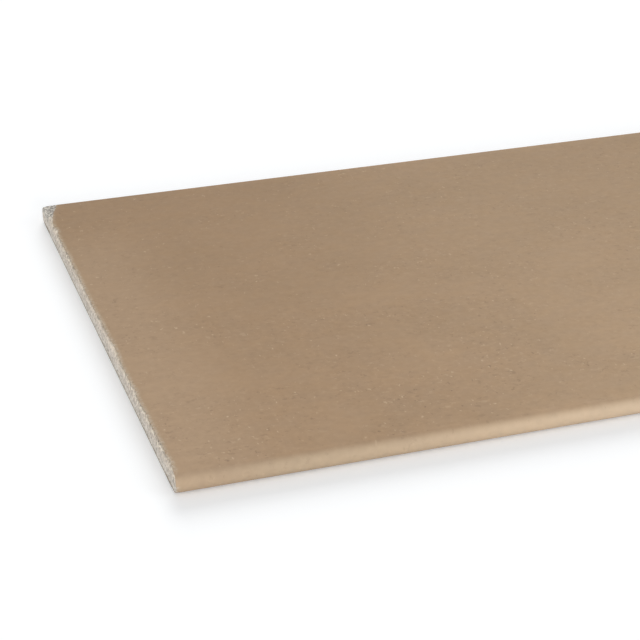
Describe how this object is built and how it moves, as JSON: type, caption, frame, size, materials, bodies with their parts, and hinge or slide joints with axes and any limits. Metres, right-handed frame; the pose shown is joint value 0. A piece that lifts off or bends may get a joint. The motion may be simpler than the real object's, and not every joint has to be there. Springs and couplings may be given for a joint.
{
  "type": "drywall sheet",
  "caption": "Narrow flat drywall sheet: gypsum core wrapped in brown face paper round both long edges, closed by back paper, with cut short ends.",
  "frame": {"origin": "centre of the back side, which lies on the floor", "axes": "+X along the length, +Y across the width, +Z through the thickness and out of the face side"},
  "size_m": [2, 0.4, 0.0125],
  "materials": {
    "gypsum": "matt, chalky, slightly crumbled where it is cut",
    "face_paper": "matt brown board paper with fine fibres",
    "back_paper": "matt grey-brown recycled board paper"
  },
  "bodies": {
    "root": {"gypsum_core": "gypsum", "face_paper": "face_paper", "back_paper": "back_paper"}
  },
  "joints": []
}
